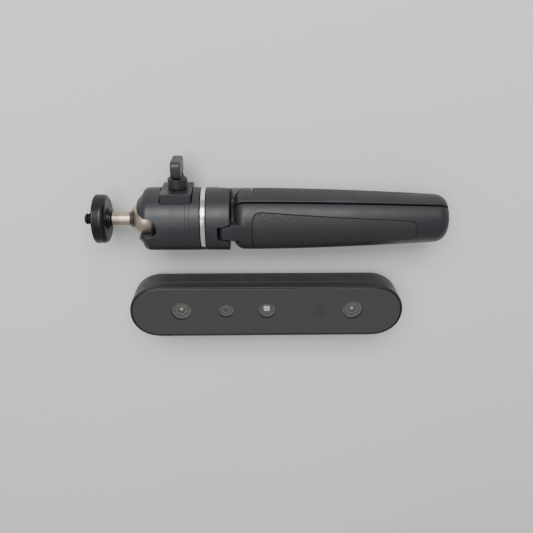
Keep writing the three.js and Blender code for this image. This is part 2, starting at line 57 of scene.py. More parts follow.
def centre(node):
    low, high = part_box(node)
    return (low + high) / (2 * MM)


def extent(node):
    low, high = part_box(node)
    return (high - low) / MM


# ---------- the frame's driving places ----------

BAR = extent("front_frame")
BAR_AT = Vector((centre("front_frame").x, centre("front_frame").y, 0))
BAR_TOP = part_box("front_frame")[1].z / MM
BAR_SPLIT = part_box("rear_cover")[1].z / MM
END_LENGTH = 17.5           # the bar's soft round ends
END_POWER = 2.15
GRIP_AT = Vector((centre("ball").x, centre("accent_ring").y, centre("accent_ring").z))
GRIP_R = extent("housing_shell").z / 2
LEG_PHASE = 10              # degrees that the first leg leans towards the scanner
LEGS = 3


# ---------- sizes of the scanner's pieces ----------

REAR_ROUND = 9              # of the rear cover's edge
WALL = 1.8
LIP = 0.3                   # chamfer of the rear cover's rim
RIM = 0.9                   # frame seen around the glass
GLASS_MARGIN = 1.2
SEAT_DEPTH = 1.75           # from the frame's top down to the glass's seat
FRAME_WALL = 2.6
BUTTON_R = 5.5
LIGHT_HOLE_R = 1.5
USB_HOLE = (9.6, 3.9, 1.9)  # width, height and rounding
SCREW_HOLE_R, SCREW_HEAD_HOLE_R, SCREW_SINK = 1.3, 2.2, 0.9
SCREWS = 4
SOCKET_HOLE_R = 4.9
CAMERA_R, COLOUR_R, PROJECTOR_R, LAMP_R = 5.6, 4.3, 4.8, 4
BARREL_DEPTH = 6.5          # how far a barrel reaches below its front
MODULE_DEPTH = 14.5         # and its box
GROOVE = 1.1                # depth of the grooves round a barrel's front
WELL = 1.4                  # depth of its middle
CHIP = (3.4, 3.1, 0.3)      # width, height and rounding of the projector's chip


# ---------- sizes of the grip's pieces ----------

BALL_R = 10
STEM_R = 4
STEM_END, STEM_ROOT, STEM_NECK = -19.4, -8, -10.6
STEM_GROOVES = (-18.2, -17.3, -16.4, -15.5)
MOUTH = -1.8                # the housing's open end
SHELL_END = 28.8
SHELL_GROOVES = (21.4, 23.4)
BORE_R, BORE_END = 13.8, 25.4
COLLAR_FRONT, COLLAR_BACK, COLLAR_TIP_R = -5, 3.2, 10.8
NOTCH_HALF = 5.4
NOTCH_X = 1.2
SHELL_FLARE = (2, 2)        # how far the notch opens out, along X and across
COLLAR_FLARE = (3.5, 5.5)
BOSS_X, BOSS_HALF_X, BOSS_HALF_Z, BOSS_TOP, BOSS_ROUND = 16.3, 8.2, 11.4, 17.2, 1.2
KNOB_X = 16.8
KNOB_SCREW_HOLE_R = 2.8
BOLT_HOLE_R, BOLT_HEAD_HOLE_R = 3.3, 5.8
PLATE_R, PLATE_BACK, PLATE_FACE = 13.2, -21.3, -28.3
PLATE_HUB_R, PLATE_HUB_END, STEM_HOLE_R = 6, -20.4, 4.6
PAD_R, PAD_HOLE_R = 12, 4.15
STUD_R, STUD_END, STUD_HOLE_R, STUD_SEAT = 3.15, -22.7, 3.45, -22.4
THREAD_PITCH = 1.27         # twenty to the inch
RING_START, RING_END, RING_R = 29.1, 31.5, 17.3
HUB_START, HUB_END = 31.8, 44.3
SLOT_FLOOR = 7.6
SLOT = ((37.8, 3.8), (40.2, 4), (45.3, 5.8))                    # half widths along a hub slot
LUG = ((38.65, 3.25), (40.3, 3.35), (46.1, 4.6), (53, 4.9))     # and along a leg's lug
LUG_TOP = 16.5
LUG_START, LUG_END = 40.35, 53
ARM_DROP = 2.4              # how far the lug's arm reaches below its pin
EYE_R = 3.5
LEG_START, LEG_TIP = 46.4, 161.5
HANDLE_R = 16.6
TAPER_START, TAPER_LENGTH, TAPER_DROP, TAPER_POWER = 60, 100, 3.7, 1.6
SECTOR_BACK = 0.6           # from the handle's axis to a leg's inner edge
SHOULDER, TIP_LENGTH, TIP_DROP = 6, 7, 5
SKIN = 3.4                  # a leg's wall
CHANNEL = 14                # width of the hollow inside a leg
CORNER = 0.7                # softening of a leg's long edges
PIN_X, PIN_R, PIN_HALF = 42.2, 12.8, 9.1
PIN_HOLE_R = 1.5
PAD_START, PAD_END = 56.2, 143.4
PAD_HALF = (10.6, 5.4)
PAD_ROUND = 4.5
PAD_DEPTH = 1.4
FOOT = (3.2, 9, 7)
FOOT_Z = 6


# ---------- outlines ----------

def bar_outline(margin, steps=28):
    """The bar's outline, taken in by a margin: straight sides and superellipse ends."""
    half = BAR.y / 2 - margin
    end = END_LENGTH - margin
    straight = BAR.x / 2 - END_LENGTH
    points = []
    for side in (1, -1):
        for i in range(steps + 1):
            angle = -math.pi / 2 + math.pi * i / steps
            c, s = math.cos(angle), math.sin(angle)
            x = straight + end * abs(c) ** (2 / END_POWER)
            y = half * math.copysign(abs(s) ** (2 / END_POWER), s)
            points.append((side * x, side * y))
    return points


def rounded(corners, steps=5, closed=True):
    """An outline of (x, y, rounding) corners, with each corner turned into a small curve."""
    points = []
    count = len(corners)
    for i, (x, y, rounding) in enumerate(corners):
        at = Vector((x, y))
        end = not closed and i in (0, count - 1)
        if rounding == 0 or end:
            points.append(tuple(at))
            continue
        before = Vector(corners[i - 1][:2]) - at
        after = Vector(corners[(i + 1) % count][:2]) - at
        a = at + before * min(rounding / before.length, 0.49)
        b = at + after * min(rounding / after.length, 0.49)
        for k in range(steps + 1):
            t = k / steps
            points.append(tuple(a * (1 - t) ** 2 + at * 2 * t * (1 - t) + b * t * t))
    return points


def rectangle(width, height, rounding):
    x, y = width / 2, height / 2
    return rounded([(x, -y, rounding), (x, y, rounding), (-x, y, rounding), (-x, -y, rounding)], 8)


# ---------- solids ----------

def solid(name, loops, wrap=False):
    """A closed solid through loops of points.

    A loop of one point is a tip, and wrap joins the last loop to the first.
    """
    verts, rings, faces = [], [], []
    for loop in loops:
        rings.append(list(range(len(verts), len(verts) + len(loop))))
        verts.extend(loop)
    pairs = list(zip(rings, rings[1:] + rings[:1]))
    for a, b in pairs if wrap else pairs[:-1]:
        count = max(len(a), len(b))
        for i in range(count if count > 1 else 0):
            j = (i + 1) % count
            if len(a) == 1:
                faces.append((a[0], b[j], b[i]))
            elif len(b) == 1:
                faces.append((a[i], a[j], b[0]))
            else:
                faces.append((a[i], a[j], b[j], b[i]))
    if not wrap:
        faces.extend(tuple(ring) for ring in (rings[0], rings[-1]) if len(ring) > 1)
    mesh = bpy.data.meshes.new(name)
    mesh.from_pydata(verts, [], faces)
    tidy = bmesh.new()
    tidy.from_mesh(mesh)
    bmesh.ops.recalc_face_normals(tidy, faces=tidy.faces)
    tidy.to_mesh(mesh)
    tidy.free()
    obj = bpy.data.objects.new(name, mesh)
    bpy.context.scene.collection.objects.link(obj)
    return obj


def turned(name, profile, segments=ROUND, closed=False):
    """A piece turned about X, from (place along X, radius) points; closed joins the last to the first."""
    loops = []
    for along, radius in profile:
        if radius < 1e-6:
            loops.append([(along, 0, 0)])
            continue
        angles = [2 * math.pi * i / segments for i in range(segments)]
        loops.append([(along, radius * math.cos(a), radius * math.sin(a)) for a in angles])
    return solid(name, loops, closed)


def turned_z(profile, segments=64, closed=False):
    """The same about Z."""
    return moved(turned("turned", profile, segments, closed), (0, -90, 0))


def prism(name, outline, low, high):
    return solid(name, [[(x, y, z) for x, y in outline] for z in (low, high)])


def stacked(name, outline_at, levels, wrap=False):
    """Outlines stacked along Z; each level is (z, margin)."""
    return solid(name, [[(x, y, z) for x, y in outline_at(margin)] for z, margin in levels], wrap)


def moved(obj, turn=(0, 0, 0), shift=(0, 0, 0)):
    for axis, degrees in zip("XYZ", turn):
        obj.data.transform(Matrix.Rotation(math.radians(degrees), 4, axis))
    obj.data.transform(Matrix.Translation(shift))
    return obj


def rod(axis, radius, low, high, at=(0, 0), segments=SMALL):
    obj = turned("rod", [(low, 0), (low, radius), (high, radius), (high, 0)], segments)
    if axis == "y":
        return moved(obj, (0, 0, 90), (at[0], 0, at[1]))
    if axis == "z":
        return moved(obj, (0, -90, 0), (at[0], at[1], 0))
    return moved(obj, (0, 0, 0), (0, at[0], at[1]))


def block(size, at):
    return moved(prism("block", rectangle(size[0], size[1], 0), -size[2] / 2, size[2] / 2), shift=at)


def combine(obj, operation, tools):
    for tool in tools:
        modifier = obj.modifiers.new("combine", "BOOLEAN")
        modifier.operation = operation
        modifier.solver = "MANIFOLD"
        modifier.object = tool
        result = bpy.data.meshes.new_from_object(obj.evaluated_get(bpy.context.evaluated_depsgraph_get()))
        obj.modifiers.clear()
        obj.data = result
        bpy.data.objects.remove(tool)
    return obj


def cut(obj, *tools):
    return combine(obj, "DIFFERENCE", tools)


def join(obj, *tools):
    return combine(obj, "UNION", tools)


def keep(obj, *tools):
    return combine(obj, "INTERSECT", tools)


def placed(obj, name, body, surface, replaces=(), at=Vector(), turn=0, sharp=32):
    """Finishes a piece: into the row frame and metres, smooth shading, material and body."""
    place = Matrix.Scale(MM, 4) @ Matrix.Translation(at) @ Matrix.Rotation(math.radians(turn), 4, "X")
    obj.data.transform(place)
    obj.name = name
    obj.data.name = name
    obj.data.shade_smooth()
    obj.data.set_sharp_from_angle(angle=math.radians(sharp))
    weighting = obj.modifiers.new("weighting", "WEIGHTED_NORMAL")
    weighting.keep_sharp = True
    result = bpy.data.meshes.new_from_object(obj.evaluated_get(bpy.context.evaluated_depsgraph_get()))
    obj.modifiers.clear()
    obj.data = result
    obj.data.materials.clear()
    obj.data.materials.append(surface)
    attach(obj, body)
    if replaces:
        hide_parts(*replaces)
    return obj


# ---------- materials ----------

class Nodes:
    """A material's node tree, built with short calls."""

    def __init__(self, name):
        self.material = bpy.data.materials.new(name)
        self.material.use_nodes = True
        self.tree = self.material.node_tree
        self.shader = self.tree.nodes["Principled BSDF"]
        self.output = self.tree.nodes["Material Output"]
        self.coordinates = self.add("ShaderNodeTexCoord").outputs["Object"]

    def add(self, kind, links=None, **settings):
        node = self.tree.nodes.new(kind)
        for key, value in settings.items():
            setattr(node, key, value)
        for socket, value in (links or {}).items():
            self.put(node.inputs[socket], value)
        return node

    def put(self, socket, value):
        if isinstance(value, bpy.types.NodeSocket):
            self.tree.links.new(value, socket)
        else:
            socket.default_value = value

    def mapped(self, scale):
        return self.add("ShaderNodeMapping", {"Vector": self.coordinates, "Scale": scale}).outputs[0]

    def noise(self, scale, detail=3, stretch=(1, 1, 1)):
        links = {"Vector": self.mapped(stretch), "Scale": scale, "Detail": detail}
        return self.add("ShaderNodeTexNoise", links).outputs["Fac"]

    def ranged(self, value, low, high, start=0, end=1):
        links = {"Value": value, "From Min": start, "From Max": end, "To Min": low, "To Max": high}
        return self.add("ShaderNodeMapRange", links).outputs[0]

    def blend(self, factor, a, b):
        node = self.add("ShaderNodeMix", data_type="RGBA")
        for socket, value in ((node.inputs[0], factor), (node.inputs[6], a), (node.inputs[7], b)):
            self.put(socket, value)
        return node.outputs[2]

    def bump(self, height, distance, strength=1, normal=None):
        links = {"Height": height, "Distance": distance, "Strength": strength}
        if normal is not None:
            links["Normal"] = normal
        return self.add("ShaderNodeBump", links).outputs[0]

    def softened(self, radius):
        return self.add("ShaderNodeBevel", {"Radius": radius}, samples=6).outputs[0]

    def set(self, **values):
        for key, value in values.items():
            self.put(self.shader.inputs[key.replace("_", " ")], value)
        return self.material


def tinted(colour, factor):
    return tuple(channel * factor for channel in colour) + (1,)


def moulded(name, colour, roughness, grain=0.00025, depth=0.00003, edge=0.00025, edge_lift=1.5, **settings):
    """Moulded, blasted or rubbery skin: spark grain, uneven sheen, colour a little lighter on sharp outward
    edges.
    """
    n = Nodes(name)
    fine = n.noise(1 / grain, 4)
    broad = n.noise(60, 3)
    sharp_edge_mask = n.ranged(n.add("ShaderNodeNewGeometry").outputs["Pointiness"], 0, 1, 0.52, 0.58)
    mottled = n.blend(n.ranged(broad, 0.2, 0.8), tinted(colour, 0.88), tinted(colour, 1.12))
    n.set(
        Base_Color=n.blend(sharp_edge_mask, mottled, tinted(colour, edge_lift)),
        Roughness=n.ranged(n.noise(140, 4), roughness - 0.05, roughness + 0.07, 0.3, 0.7),
        Normal=n.bump(fine, depth, 0.7, n.softened(edge)),
    )
    return n.set(**settings)


def machined(name, colour, roughness, lines=6000, depth=0.000012, **settings):
    """Turned or drawn metal: fine lines round the X axis, and an uneven polish."""
    n = Nodes(name)
    streaks = n.noise(1, 5, (lines, lines / 60, lines / 60))
    mottled = n.blend(n.noise(90, 3), tinted(colour, 0.9), tinted(colour, 1.08))
    n.set(
        Base_Color=mottled,
        Metallic=1,
        Roughness=n.ranged(streaks, roughness - 0.06, roughness + 0.1, 0.3, 0.7),
        Normal=n.bump(streaks, depth, 0.6, n.softened(0.0002)),
    )
    return n.set(**settings)


def leather(name, colour, roughness):
    """Leather-grained rubber: small rounded cells with creases between them, the creases painted darker as
    shade.
    """
    n = Nodes(name)
    wander = n.add("ShaderNodeTexNoise", {"Vector": n.coordinates, "Scale": 500.0, "Detail": 3.0})
    away = n.add("ShaderNodeVectorMath", {0: wander.outputs["Color"], "Scale": 0.0012}, operation="SCALE")
    place = n.add("ShaderNodeVectorMath", {0: n.coordinates, 1: away.outputs[0]}, operation="ADD")
    links = {"Vector": place.outputs[0], "Scale": 850.0}
    cells = n.add("ShaderNodeTexVoronoi", links, feature="DISTANCE_TO_EDGE")
    crease = n.ranged(cells.outputs["Distance"], 0, 1, 0, 0.28)
    fine = n.noise(3500, 3)
    relief = n.bump(crease, 0.00011, 0.9, n.softened(0.0003))
    n.set(
        # Base colour: painted shade, darker down in the creases between the cells.
        Base_Color=n.blend(crease, tinted(colour, 0.7), tinted(colour, 1.1)),
        Roughness=n.ranged(crease, roughness + 0.12, roughness - 0.03),
        Normal=n.bump(fine, 0.00002, 0.5, relief),
    )
    return n.material


CASING = moulded("casing_anodised", (0.020, 0.021, 0.024), 0.42, 0.00018, 0.000015, Metallic=0.35)
SATIN = moulded("grip_satin_black", (0.018, 0.019, 0.022), 0.42, 0.00022, 0.00002)
SOFT = moulded("soft_touch_rubber", (0.024, 0.024, 0.025), 0.72, 0.0003, 0.00003)
MODULE = moulded("module_matte_grey", (0.25, 0.24, 0.24), 0.6, 0.0002, 0.00001)
LEATHER = leather("grip_leather_grain", (0.024, 0.024, 0.025), 0.5)
CHAMPAGNE = machined("champagne_anodised", (0.50, 0.43, 0.35), 0.34)
BLACK_METAL = machined("black_turned_metal", (0.045, 0.046, 0.050), 0.36)
BRIGHT = machined("polished_ring", (0.86, 0.84, 0.82), 0.16)
STEEL = machined("turned_steel", (0.52, 0.52, 0.53), 0.3)
DARK_STEEL = machined("dark_bolt_steel", (0.14, 0.14, 0.145), 0.34)
BRASS = machined("turned_brass", (0.62, 0.46, 0.21), 0.3)
MILLED = machined("milled_aluminium", (0.52, 0.53, 0.54), 0.4, 3000)
MASK = moulded("solder_mask", (0.015, 0.09, 0.045), 0.35, 0.0006, 0.00002)
MILKY = moulded("milky_light", (0.62, 0.64, 0.63), 0.25, 0.0004, 0.00001, Subsurface_Weight=0.3)


def window_glass():
    """Tinted face glass: inked behind, clear but dark over each camera and the projector."""
    n = Nodes("tinted_face_glass")
    smear = n.noise(45, 4)
    n.set(
        Base_Color=(0.030, 0.030, 0.0305, 1),
        Roughness=n.ranged(smear, 0.20, 0.30, 0.3, 0.7),
        Coat_Weight=1.0,
        Coat_Roughness=0.05,
    )
    clear = n.add("ShaderNodeBsdfTransparent", {"Color": (0.90, 0.88, 0.88, 1)})
    gloss = n.add("ShaderNodeBsdfGlossy", {"Color": (1, 1, 1, 1), "Roughness": 0.06})
    fresnel = n.add("ShaderNodeFresnel", {"IOR": 1.5})
    pane = n.add("ShaderNodeMixShader", {0: fresnel.outputs[0], 1: clear.outputs[0], 2: gloss.outputs[0]})
    opening = None
    for node, radius, share in WINDOWS:
        spot = centre(node) * MM
        apart = n.add("ShaderNodeVectorMath", {0: n.coordinates, 1: tuple(spot)}, operation="SUBTRACT")
        flat = n.add("ShaderNodeVectorMath", {0: apart.outputs[0], 1: (1, 1, 0)}, operation="MULTIPLY")
        distance = n.add("ShaderNodeVectorMath", {0: flat.outputs[0]}, operation="LENGTH").outputs["Value"]
        inside = n.ranged(distance, share, 0, radius * MM - 0.00008, radius * MM + 0.00008)
        if opening is None:
            opening = inside
        else:
            opening = n.add("ShaderNodeMath", {0: opening, 1: inside}, operation="MAXIMUM").outputs[0]
    mixed = n.add("ShaderNodeMixShader", {0: opening, 1: n.shader.outputs[0], 2: pane.outputs[0]})
    n.put(n.output.inputs["Surface"], mixed.outputs[0])
    return n.material


def coated_lens():
    """Lens glass: mid grey, with a faintly green shine."""
    n = Nodes("coated_lens")
    haze = n.noise(700, 3)
    return n.set(
        Base_Color=n.blend(haze, (0.16, 0.165, 0.16, 1), (0.20, 0.21, 0.20, 1)),
        Roughness=n.ranged(haze, 0.03, 0.07),
        Specular_Tint=(0.7, 1.0, 0.75, 1),
    )


def painted_glow_chip():
    """The projector's pale chip behind its lens, with a painted glow: it emits light though it is no lamp.
    """
    n = Nodes("projector_chip")
    grid = n.noise(2500, 2)
    return n.set(
        Base_Color=n.blend(grid, (0.55, 0.68, 0.68, 1), (0.75, 0.85, 0.85, 1)),
        Roughness=n.ranged(grid, 0.3, 0.5),
        # Painted glow: emission on a part that gives no light.
        Emission_Color=(0.62, 0.80, 0.80, 1),
        Emission_Strength=0.45,
    )


# Node behind each window, the window's radius, and how clear it is.
WINDOWS = (
    ("left_camera", CAMERA_R, 1), ("colour_camera", COLOUR_R, 1), ("projector", PROJECTOR_R, 1),
    ("right_camera", CAMERA_R, 1), ("fill_light", LAMP_R, 0.12),
)
LENS = coated_lens()
# Painted glint: a green emissive spot on a small dome, standing in for the lamp's reflection in the lens
# coating.
PAINTED_GLINT = moulded("painted_lens_glint", (0.30, 0.62, 0.30), 0.2, Emission_Color=(0.42, 0.80, 0.42, 1),
                Emission_Strength=0.5)


# ---------- scanner ----------

def arc_levels(centre_z, centre_m, radius, start, end, steps=14):
    """(z, margin) points on a quarter round, from one angle to another in degrees."""
    levels = []
    for i in range(steps + 1):
        angle = math.radians(start + (end - start) * i / steps)
        levels.append((centre_z - radius * math.cos(angle), centre_m - radius * math.sin(angle)))
    return levels


def rear_cover():
    inner = REAR_ROUND - WALL
    levels = arc_levels(REAR_ROUND, REAR_ROUND, REAR_ROUND, 0, 90)
    levels += [(BAR_SPLIT - LIP, 0), (BAR_SPLIT, LIP), (BAR_SPLIT, WALL - LIP), (BAR_SPLIT - LIP, WALL)]
    levels += arc_levels(REAR_ROUND, REAR_ROUND, inner, 90, 0)
    cover = stacked("rear_casing", bar_outline, levels)
    usb = centre("usb_port") - BAR_AT
    light = centre("status_light") - BAR_AT
    through = WALL + 1.2
    hole = BUTTON_R + GAP
    tools = [
        turned_z([(-1, 0), (-1, hole + 1), (0.5, hole), (through, hole), (through, 0)]),
        rod("z", LIGHT_HOLE_R, -1, through, (light.x, light.y)),
        moved(prism("usb", rectangle(*USB_HOLE), -1, through), shift=(usb.x, usb.y, 0)),
    ]
    for i in range(SCREWS):
        at = centre(f"cover_screw_{i + 1}") - BAR_AT
        sink = turned_z([(-1, 0), (-1, SCREW_HEAD_HOLE_R + 0.4), (0.3, SCREW_HEAD_HOLE_R),
                         (SCREW_SINK, SCREW_HEAD_HOLE_R), (SCREW_SINK, SCREW_HOLE_R),
                         (through, SCREW_HOLE_R), (through, 0)])
        tools.append(moved(sink, shift=(at.x, at.y, 0)))
    socket = centre("tripod_socket") - BAR_AT
    side = -BAR.y / 2
    tools.append(rod("y", SOCKET_HOLE_R, side - 1, side + WALL + 1, (socket.x, socket.z)))
    cut(cover, *tools)
    placed(cover, "rear_casing", "scanner", CASING, ["rear_cover"], BAR_AT)


def front_frame():
    low = BAR_SPLIT + GAP
    top = BAR_TOP
    seat = top - SEAT_DEPTH
    levels = [(low + 0.2, 0), (top - 0.55, 0), (top - 0.42, 0.05), (top - 0.06, 0.40), (top, 0.50),
              (top, RIM - 0.12), (top - 0.12, RIM), (seat, RIM), (seat, FRAME_WALL), (low, FRAME_WALL),
              (low, 0.2)]
    piece = stacked("face_frame", bar_outline, levels, wrap=True)
    placed(piece, "face_frame", "scanner", CASING, ["front_frame"], BAR_AT)


def front_glass():
    low, high = (corner.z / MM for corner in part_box("front_glass"))
    edge = GLASS_MARGIN
    levels = [(low, edge), (high - 0.2, edge), (high - 0.1, edge + 0.03), (high - 0.03, edge + 0.1),
              (high, edge + 0.25)]
    piece = stacked("face_glass", bar_outline, levels)
    surface = window_glass()
    placed(piece, "face_glass", "scanner", surface, ["front_glass"], BAR_AT, sharp=50)


def barrel(node, steps):
    """A module under the glass: its box, and a barrel of (depth, radius) steps that faces up."""
    at = centre(node)
    at.z = 0
    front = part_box(node)[1].z / MM
    width, height = extent(node).x, extent(node).y
    low = front - BARREL_DEPTH
    outline = [(low, 0), (low, steps[0][1])] + [(front - depth, r) for depth, r in steps]
    piece = turned_z(outline)
    join(piece, prism("foot", rectangle(width, height, 1.2), front - MODULE_DEPTH, low + 0.1))
    placed(piece, f"{node}_barrel", "scanner", MODULE, [node], at)


def dome(node, name, radius, depth, rise, surface, replaces=()):
    """A shallow lens with its rim at a depth below the barrel's front."""
    at = centre(node)
    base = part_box(node)[1].z / MM - depth
    at.z = 0
    outline = [(base - 0.15, 0), (base - 0.15, radius)]
    for i in range(9):
        angle = math.pi / 2 * i / 8
        outline.append((base + rise * math.sin(angle), radius * math.cos(angle)))
    outline[-1] = (base + rise, 0)
    placed(turned_z(outline), f"{node}_{name}", "scanner", surface, replaces, at, sharp=60)


def camera_module(node):
    barrel(node, [(0, CAMERA_R), (0, 4.6), (GROOVE, 4.55), (GROOVE, 4.15), (0.15, 4.1), (0.15, 3.6),
                  (GROOVE, 3.55), (GROOVE, 3.15), (0.4, 3.1), (0.4, 2.4), (WELL, 2.3), (WELL, 0)])
    dome(node, "front_element", 2.25, 1.35, 0.25, LENS, [f"{node}_lens"])
    # A small dome that carries the painted glint, a glowing green spot in place of a reflection.
    dome(node, "painted_glint_spot", 0.9, 1.15, 0.12, PAINTED_GLINT)


def colour_module(node):
    barrel(node, [(0, COLOUR_R), (0, 3.4), (GROOVE, 3.35), (GROOVE, 2.9), (0.35, 2.85), (0.35, 2.35),
                  (0.05, 2.3), (0.05, 1.8), (0.9, 1.7), (0.9, 0)])
    dome(node, "front_element", 1.65, 0.85, 0.4, LENS, [f"{node}_lens"])


def projector_module(node):
    barrel(node, [(0, PROJECTOR_R), (0, 3.8), (GROOVE, 3.75), (GROOVE, 3.35), (0.3, 3.3), (0.3, 3),
                  (WELL, 2.9), (WELL, 0)])
    dome(node, "front_element", 2.8, 1.35, 0.1, LENS, [f"{node}_lens"])
    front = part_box(node)[1].z / MM
    width, height, rounding = CHIP
    chip = stacked("chip", lambda m: rectangle(width - 2 * m, height - 2 * m, rounding), [
        (front - WELL, 0), (front - 1.05, 0), (front - 1, 0.08)])
    at = centre(node)
    at.z = 0
    placed(chip, "projector_chip_cover", "scanner", painted_glow_chip(), (), at)


def scan_button():
    r = BUTTON_R
    flange, pin = 6.8, 1.3
    profile = rounded([(0.75, 0, 0), (0.75, 3.1, 0), (0.5, 3.5, 0.4), (0.5, r - 0.1, 0.5), (1.2, r, 0.3),
                       (2.15, r, 0), (2.15, flange, 0), (2.75, flange, 0), (2.75, pin, 0), (3, pin, 0),
                       (3, 0, 0)], closed=False)
    piece = turned_z(profile, 96)
    placed(piece, "scan_button_cap", "button", SOFT, ["scan_button"], BAR_AT)


# ---------- grip: ball head ----------

def notch_cutters():
    """The slot for the tilted stem: a straight cut and its round end."""
    slot = block((FAR, 2 * NOTCH_HALF, FAR), (NOTCH_X - FAR / 2, 0, FAR / 2))
    end = rod("z", NOTCH_HALF, 0, FAR, (NOTCH_X, 0), 96)
    return [slot, end]


def notch_flare(start, along, across):
    """A cutter for where the slot opens out at an edge, with elliptical corners."""
    corner = NOTCH_HALF + across
    outline = [(start - 4, -corner)]
    for side in (-1, 1):
        for i in range(13):
            angle = math.pi / 2 * (i if side < 0 else 12 - i) / 12
            x = start + along * (1 - math.cos(angle))
            outline.append((x, side * (corner - across * math.sin(angle))))
    outline.append((start - 4, corner))
    return prism("flare", outline, 0, FAR)


def housing():
    r = GRIP_R
    outline = [(MOUTH, 0, 0), (MOUTH, r - 2.2, 0.4), (MOUTH + 0.7, r - 0.8, 0.5), (MOUTH + 2.4, r, 0.9)]
    for groove in SHELL_GROOVES:
        for x, depth in ((-0.2, 0), (-0.15, 0.06), (0.15, 0.06), (0.2, 0)):
            outline.append((groove + x, r - depth, 0))
    outline += [(SHELL_END, r, 0.5), (SHELL_END, 0, 0)]
    shell = turned("housing", rounded(outline, closed=False))
    shell = cut(shell, boss_prism(0.4, 11.6, FAR, 0))
    shell = join(shell, boss_prism(0, 2, BOSS_TOP, 0.5))
    bore = rod("x", BORE_R, MOUTH - 1, BORE_END, segments=ROUND)
    shell = cut(shell, bore, *notch_cutters(), notch_flare(MOUTH, *SHELL_FLARE))
    screw_hole = rod("y", KNOB_SCREW_HOLE_R, 0, FAR, (KNOB_X, 0))
    shell = cut(shell, screw_hole, rod("x", BOLT_HOLE_R, 20, SHELL_END + 1))
    placed(shell, "ball_head_housing", "head", SATIN, ["housing_shell"], GRIP_AT)


def boss_prism(margin, low, high, edge):
    """The block that the knob's screw runs through, standing along +Y; edge rounds its top."""
    half_x, half_z = BOSS_HALF_X + margin, BOSS_HALF_Z + margin
    rounding = BOSS_ROUND + margin
    levels = [(low, 0), (high - edge, 0)]
    if edge:
        levels += [(high - edge * 0.3, edge * 0.1), (high - edge * 0.1, edge * 0.3), (high, edge)]
    else:
        levels.append((high, 0))
    piece = stacked("boss", lambda m: rectangle(2 * (half_x - m), 2 * (half_z - m), rounding), levels)
    return moved(piece, (-90, 0, 0), (BOSS_X, 0, 0))


def ball_seat():
    return ball_solid(BALL_R + GAP)


def ball_solid(radius, segments=96):
    steps = 48
    profile = [(-radius * math.cos(math.pi * i / steps), radius * math.sin(math.pi * i / steps))
               for i in range(steps + 1)]
    return turned("ball", profile, segments)


def collar():
    r = BORE_R - GAP
    profile = rounded([(COLLAR_FRONT, 0, 0), (COLLAR_FRONT, COLLAR_TIP_R, 0.4), (MOUTH - 0.6, r, 0.5),
                       (COLLAR_BACK, r, 0.3), (COLLAR_BACK, 0, 0)], closed=False)
    flare = notch_flare(COLLAR_FRONT, *COLLAR_FLARE)
    piece = cut(turned("collar", profile), ball_seat(), *notch_cutters(), flare)
    placed(piece, "ball_retaining_collar", "head", SATIN, ["ball_collar"], GRIP_AT)


def ball_and_stem():
    ball = ball_solid(BALL_R)
    placed(ball, "polished_ball", "ball", CHAMPAGNE, ["ball"], GRIP_AT, sharp=60)
    r = STEM_R
    outline = [(STEM_END, 0, 0), (STEM_END, r - 0.3, 0.2), (STEM_END + 0.5, r, 0.2)]
    for groove in STEM_GROOVES:
        outline += [(groove - 0.18, r, 0), (groove, r - 0.22, 0.1), (groove + 0.18, r, 0)]
    outline += [(STEM_NECK, r, 0.3), (STEM_ROOT, r, 0), (STEM_ROOT, 0, 0)]
    stem = cut(turned("stem", rounded(outline, 4, closed=False), 96), ball_seat())
    placed(stem, "turned_stem", "stem", CHAMPAGNE, ["ball_stem"], GRIP_AT)


def mounting_plate():
    """The round plate, finely ridged round its edge."""
    r, back, face = PLATE_R, PLATE_BACK, PLATE_FACE
    recess, floor_x, inner = PAD_R + GAP, STEM_END - GAP, PLATE_FACE + 1.2
    outline = [(face + 0.25, recess, 0), (face + 0.25, r - 0.5, 0.2), (face + 0.8, r, 0.3)]
    ridge = face + 1.3
    while ridge < back - 2.6:
        outline += [(ridge, r, 0.05), (ridge + 0.22, r - 0.16, 0.05), (ridge + 0.44, r, 0.05)]
        ridge += 0.62
    outline += [(back - 2, r, 0.3), (back - 0.6, r - 0.7, 0.7), (back, r - 2.1, 0.6),
                (back, PLATE_HUB_R, 0.2), (PLATE_HUB_END, PLATE_HUB_R, 0.3), (PLATE_HUB_END, STEM_HOLE_R, 0),
                (floor_x, STEM_HOLE_R, 0.1), (floor_x, 0, 0), (STUD_SEAT, 0, 0), (STUD_SEAT, STUD_HOLE_R, 0),
                (inner, STUD_HOLE_R, 0), (inner, recess, 0)]
    plate = turned("plate", rounded(outline, 3), ROUND, closed=True)
    placed(plate, "knurled_mounting_plate", "plate", BLACK_METAL, ["mounting_plate"], GRIP_AT)
    plate_pad()


def plate_pad():
    """The rubber face, with rings pressed into it."""
    face = PLATE_FACE
    outline = [(face, PAD_HOLE_R, 0.1), (face, 5.1, 0)]
    ring = 5.4
    while ring < PAD_R - 1:
        outline += [(face, ring, 0.05), (face + 0.25, ring + 0.2, 0.05), (face, ring + 0.4, 0.05)]
        ring += 1.1
    outline += [(face, PAD_R, 0.3), (face + 0.9, PAD_R, 0), (face + 0.9, PAD_HOLE_R, 0)]
    piece = turned("pad", rounded(outline, 3), ROUND, closed=True)
    placed(piece, "ribbed_plate_pad", "plate", SOFT, ["plate_pad"], GRIP_AT)


def camera_screw():
    """A threaded stud; its crests are rings at the real pitch."""
    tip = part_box("camera_screw")[0].x / MM - GRIP_AT.x
    pitch, r = THREAD_PITCH, STUD_R
    outline = [(tip, 0, 0), (tip, r - 0.9, 0.1), (tip + 0.5, r - 0.45, 0)]
    x = tip + 0.6
    while x < STUD_END - pitch:
        outline += [(x, r - 0.55, 0), (x + pitch * 0.45, r, 0.05), (x + pitch * 0.55, r, 0.05)]
        x += pitch
    outline += [(STUD_END, r - 0.5, 0), (STUD_END, 0, 0)]
    stud = turned("stud", rounded(outline, 2, closed=False), 64)
    # Black metal: a guessed black-oxide finish that also serves as painted shade, the stud sitting in deep
    # shadow.
    placed(stud, "threaded_camera_screw", "plate", BLACK_METAL, ["camera_screw"], GRIP_AT)


